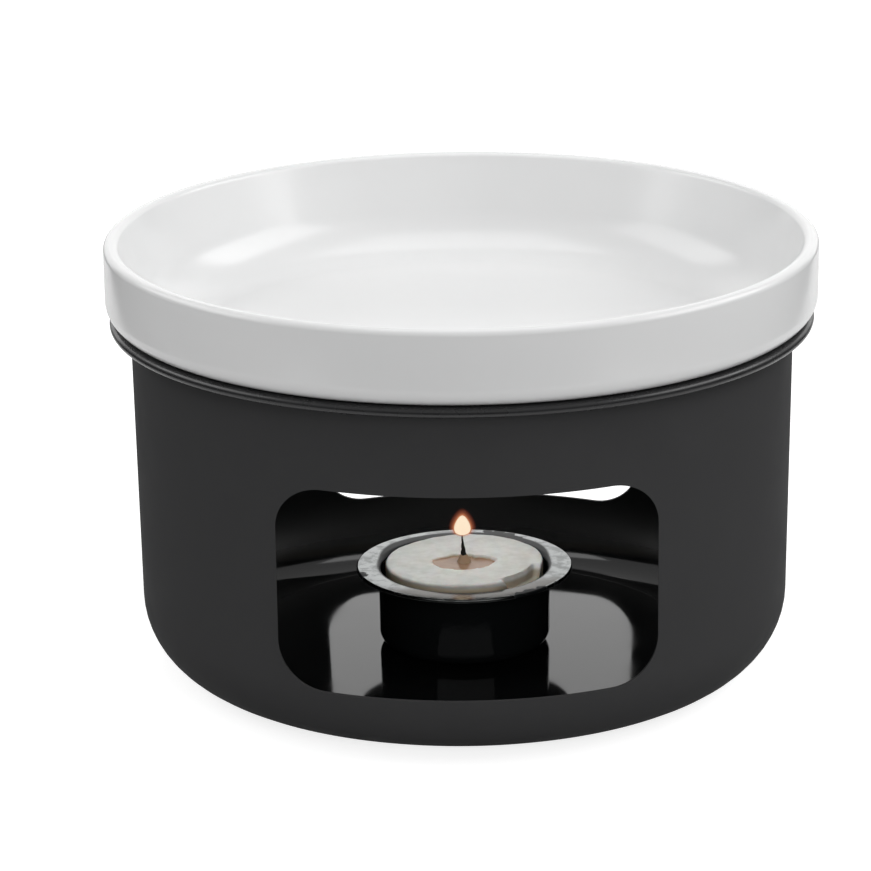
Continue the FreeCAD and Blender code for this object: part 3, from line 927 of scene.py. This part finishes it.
flame_light, tree, shader = new_material(
    "flame_light", Base_Color=(0, 0, 0, 1), Roughness=1.0, Specular_IOR_Level=0.0, Emission_Strength=1.0
)
shell = add(tree, "ShaderNodeAttribute", {"attribute_name": "shell"}).outputs["Fac"]
colours = add(tree, "ShaderNodeValToRGB", Fac=shell)
ramp = colours.color_ramp
ramp.elements[0].color = SHELL_COLOURS[0][1]
ramp.elements[1].color = SHELL_COLOURS[-1][1]
for number, colour in SHELL_COLOURS[1:-1]:
    ramp.elements.new(number).color = colour
feed(tree, shader.inputs["Emission Color"], colours.outputs["Color"])
feed(tree, shader.inputs["Alpha"], drawn(tree, shell, SHELL_SOLID))
tidy(tree)
print("flame light with", len(ramp.elements), "colours")

# %% [markdown]
# A shell is a ball that the tree stretches into a flame: tall, widest below its middle and tapered to
# its tip. All shells come from one Instance on Points node, and Float Curves turn each one's number
# into its width and its height. The outer ones start a little lower than the inner ones.

# %% The flame's shells
FLAME_FOOT = WICK_TIP + 0.3 * MM
FLAME_CENTRE = -0.35 * MM
FLAME_HEIGHT = 6.8 * MM
FLAME_WIDTH = 6.4 * MM
FLAME_DROP = 0.5 * MM
FLAME_TAPER = -0.8
FLAME_FULLNESS = 1.39 / 2
SHELLS = 8
SHELL_WIDTH = [(0.0, 0.30), (0.143, 0.56), (0.286, 0.61), (1.0, 1.0)]
SHELL_HEIGHT = [(0.0, 0.31), (0.143, 0.66), (0.286, 0.69), (1.0, 1.0)]

flame_seed = outline_object("flame_seed", [(0, 0), (0, FLAME_HEIGHT)])
tree, given = new_tree(
    "flame_shells", Shells=SHELLS, Width=FLAME_WIDTH, Height=FLAME_HEIGHT, Light=flame_light
)
seeds = add(tree, "GeometryNodePoints", Count=given["Shells"])
ball = add(tree, "GeometryNodeMeshUVSphere", Segments=32, Rings=24, Radius=1.0)
shells = add(
    tree, "GeometryNodeInstanceOnPoints", Points=seeds.outputs["Points"], Instance=ball.outputs["Mesh"]
)
index = add(tree, "GeometryNodeInputIndex").outputs["Index"]
last = math_node(tree, "SUBTRACT", given["Shells"], 1.0)
number = math_node(tree, "DIVIDE", index, last)
marked = add(
    tree, "GeometryNodeStoreNamedAttribute", {"data_type": "FLOAT", "domain": "INSTANCE"},
    Geometry=shells.outputs["Instances"], Name="shell", Value=number,
)
real = add(tree, "GeometryNodeRealizeInstances", Geometry=marked.outputs["Geometry"]).outputs["Geometry"]
mark = named(tree, "shell")
place = add(tree, "GeometryNodeInputPosition").outputs["Position"]
parts = add(tree, "ShaderNodeSeparateXYZ", Vector=place).outputs
level = math_node(tree, "MULTIPLY_ADD", parts["Z"], 0.5, 0.5)
taper = math_node(tree, "EXPONENT", math_node(tree, "MULTIPLY", level, FLAME_TAPER))
taper = math_node(tree, "MULTIPLY", taper, FLAME_FULLNESS)
wide = math_node(tree, "MULTIPLY", given["Width"], drawn(tree, mark, SHELL_WIDTH))
half = math_node(tree, "MULTIPLY", taper, wide)
tall = math_node(tree, "MULTIPLY", given["Height"], drawn(tree, mark, SHELL_HEIGHT))
foot = math_node(tree, "MULTIPLY_ADD", mark, -FLAME_DROP, FLAME_FOOT)
spot = add(tree, "ShaderNodeCombineXYZ", Z=math_node(tree, "MULTIPLY_ADD", level, tall, foot))
feed(tree, spot.inputs["X"], math_node(tree, "MULTIPLY_ADD", parts["X"], half, FLAME_CENTRE))
feed(tree, spot.inputs["Y"], math_node(tree, "MULTIPLY", parts["Y"], half))
shaped = add(tree, "GeometryNodeSetPosition", Geometry=real, Position=spot.outputs["Vector"])
close_tree(tree, painted(tree, smooth(tree, shaped.outputs["Geometry"], sharp_from=180), given["Light"]))
finished_piece("flame", flame_seed, tree, "wax")

# %% [markdown]
# The set stands on a sheet of white paper in a plain studio: a pale floor, a white backdrop, a soft
# lamp on each side and a wide one above. White paper only looks white in a picture when it is bright,
# so floor and backdrop glow for the camera and for mirror and glass, but not onto the object. The
# floor keeps part of its own shading, so the set still throws a soft shadow. In gloss the room is
# bright above and dark near the horizon, and the sheet ends close round the set at its front and its
# sides. So the rim's bead mirrors a dark line between two light ones.

# %% Floor and backdrop
PAPER_GREY = (0.55, 0.55, 0.55, 1)


def paper(name, glow, gloss_glow):
    """White paper: plain for the light that falls on the set, bright for the camera and in gloss."""
    material, tree, shader = new_material(
        name, Base_Color=PAPER_GREY, Roughness=0.9, Specular_IOR_Level=0.0, Emission_Color=(1, 1, 1, 1)
    )
    path = tree.nodes.new("ShaderNodeLightPath").outputs
    seen = math_node(tree, "MULTIPLY", path["Is Camera Ray"], glow)
    mirrored = math_node(tree, "MAXIMUM", path["Is Glossy Ray"], path["Is Transmission Ray"])
    seen = math_node(tree, "MULTIPLY_ADD", mirrored, gloss_glow, seen)
    feed(tree, shader.inputs["Emission Strength"], seen)
    tidy(tree)
    return material


def sheet_of_paper(name, corners, material):
    """One flat sheet with four corners, which belongs to the stage and not to the set."""
    mesh = bpy.data.meshes.new(name)
    mesh.from_pydata(corners, [], [(0, 1, 2, 3)])
    mesh.materials.append(material)
    piece = in_scene(name, mesh)


FLOOR_HALF = 0.27
FLOOR_FRONT = 0.26
BACKDROP_DISTANCE = 1.6
BACKDROP_HALF = 1.3
BACKDROP_HEIGHT = 1.3

sheet_of_paper(
    "floor",
    [
        (-FLOOR_HALF, -FLOOR_FRONT, 0.0),
        (FLOOR_HALF, -FLOOR_FRONT, 0.0),
        (FLOOR_HALF, BACKDROP_DISTANCE, 0.0),
        (-FLOOR_HALF, BACKDROP_DISTANCE, 0.0),
    ],
    paper("floor_paper", glow=0.80, gloss_glow=0.40),
)
sheet_of_paper(
    "backdrop",
    [
        (-BACKDROP_HALF, BACKDROP_DISTANCE, 0.0),
        (BACKDROP_HALF, BACKDROP_DISTANCE, 0.0),
        (BACKDROP_HALF, BACKDROP_DISTANCE, BACKDROP_HEIGHT),
        (-BACKDROP_HALF, BACKDROP_DISTANCE, BACKDROP_HEIGHT),
    ],
    paper("backdrop_paper", glow=0.9, gloss_glow=0.9),
)
print("floor and backdrop ready")

# %% [markdown]
# The room round the set is the world. It lights the set at a plain level, is white for the camera and
# has its own brightness in gloss, which grows with the height of the direction.

# %% The room
ROOM_LEVEL = 0.38
ROOM_WHITE = 1.0
GLOSS_LEVELS = (0.05, 0.55)
GLOSS_HEIGHTS = (0.0, 0.35)

world = bpy.data.worlds.new("studio")
bpy.context.scene.world = world
world.use_nodes = True
tree = world.node_tree
background = tree.nodes["Background"]
path = tree.nodes.new("ShaderNodeLightPath").outputs
direction = tree.nodes.new("ShaderNodeTexCoord").outputs["Generated"]
height = add(tree, "ShaderNodeSeparateXYZ", Vector=direction).outputs["Z"]
mirrored = between(tree, height, *GLOSS_LEVELS, *GLOSS_HEIGHTS)
seen = between(tree, path["Is Glossy Ray"], ROOM_LEVEL, mirrored)
background.inputs["Color"].default_value = (1, 1, 1, 1)
feed(tree, background.inputs["Strength"], between(tree, path["Is Camera Ray"], seen, ROOM_WHITE))
print("room ready")

# %% [markdown]
# Soft lamps are wide, so their shadows are soft and they show as pale shapes in the glaze. A lamp is
# placed by the direction in which it stands, seen from the set: its turn from the front, its height
# angle and its distance. The one in front only fills the shadows, so it is kept out of the gloss. A
# small round one hangs under the dish and lights the wax, as the flame does, but evenly.

# %% Lamps
LAMPS_AIM = Vector((0, 0, 0.06))
GLOW_RADIUS = 22 * MM
GLOW_LEVEL = WELL_BOTTOM - 6 * MM


def area_lamp(name, shape, size, power, in_gloss):
    """An area lamp that the camera doesn't see, and mirrors only if asked."""
    lamp = bpy.data.lights.new(name, "AREA")
    lamp.shape = shape
    lamp.size, lamp.size_y = size
    lamp.energy = power
    holder = in_scene(name, lamp)
    holder.visible_camera = False
    holder.visible_glossy = in_gloss
    return holder


def soft_lamp(name, turn, rise, distance, size, power, in_gloss=True):
    """A lamp that looks at the set. Turn 0 is in front and 90 to the right, in degrees."""
    holder = area_lamp(name, "RECTANGLE", size, power, in_gloss)
    turn, rise = math.radians(turn), math.radians(rise)
    level = math.cos(rise)
    direction = Vector((math.sin(turn) * level, -math.cos(turn) * level, math.sin(rise)))
    holder.location = LAMPS_AIM + direction * distance
    holder.rotation_mode = "QUATERNION"
    holder.rotation_quaternion = direction.to_track_quat("Z", "Y")


soft_lamp("left_softbox", -100, 34, 1.3, (1.2, 0.6), 4.6)
soft_lamp("right_softbox", 93, 36, 1.3, (1.2, 0.6), 7.0)
soft_lamp("top_softbox", 180, 84, 1.3, (0.95, 0.95), 5.0)
soft_lamp("front_fill", 12, 22, 1.8, (1.0, 1.0), 7.5, in_gloss=False)

burner_glow = area_lamp("burner_glow", "DISK", (2 * GLOW_RADIUS, 2 * GLOW_RADIUS), 0.02, in_gloss=False)
burner_glow.location = (0, 0, GLOW_LEVEL)

# %% [markdown]
# The camera stands where the photographer stood: in front, above the dish's rim, with a long lens
# that hardly spreads the shape. Its place, turn and lens were found from the outlines of the dish,
# the wall and the window.

# %% Camera
CAMERA_PLACE = Vector((0.0, -0.900, 0.3355))
LOOK_DOWN = math.radians(17.39)
LOOK_LEFT = math.radians(0.406)
LEAN = math.radians(0.73)
LENS = 167.15

level_forward = Vector((-math.sin(LOOK_LEFT), math.cos(LOOK_LEFT), 0))
level_right = Vector((math.cos(LOOK_LEFT), math.sin(LOOK_LEFT), 0))
forward = level_forward * math.cos(LOOK_DOWN) - Vector((0, 0, math.sin(LOOK_DOWN)))
level_up = level_right.cross(forward)
right = level_right * math.cos(LEAN) - level_up * math.sin(LEAN)
up = level_right * math.sin(LEAN) + level_up * math.cos(LEAN)

camera_data = bpy.data.cameras.new("camera")
camera_data.lens = LENS
camera_data.sensor_width = 36
camera_data.sensor_fit = "HORIZONTAL"
camera_data.clip_start = 0.05
camera = in_scene("camera", camera_data)
camera.matrix_world = Matrix.Translation(CAMERA_PLACE) @ Matrix((right, up, -forward)).transposed().to_4x4()
bpy.context.scene.camera = camera
bpy.context.scene.view_settings.view_transform = "Standard"
print("camera at", camera.location, "lens", round(camera_data.lens, 1))
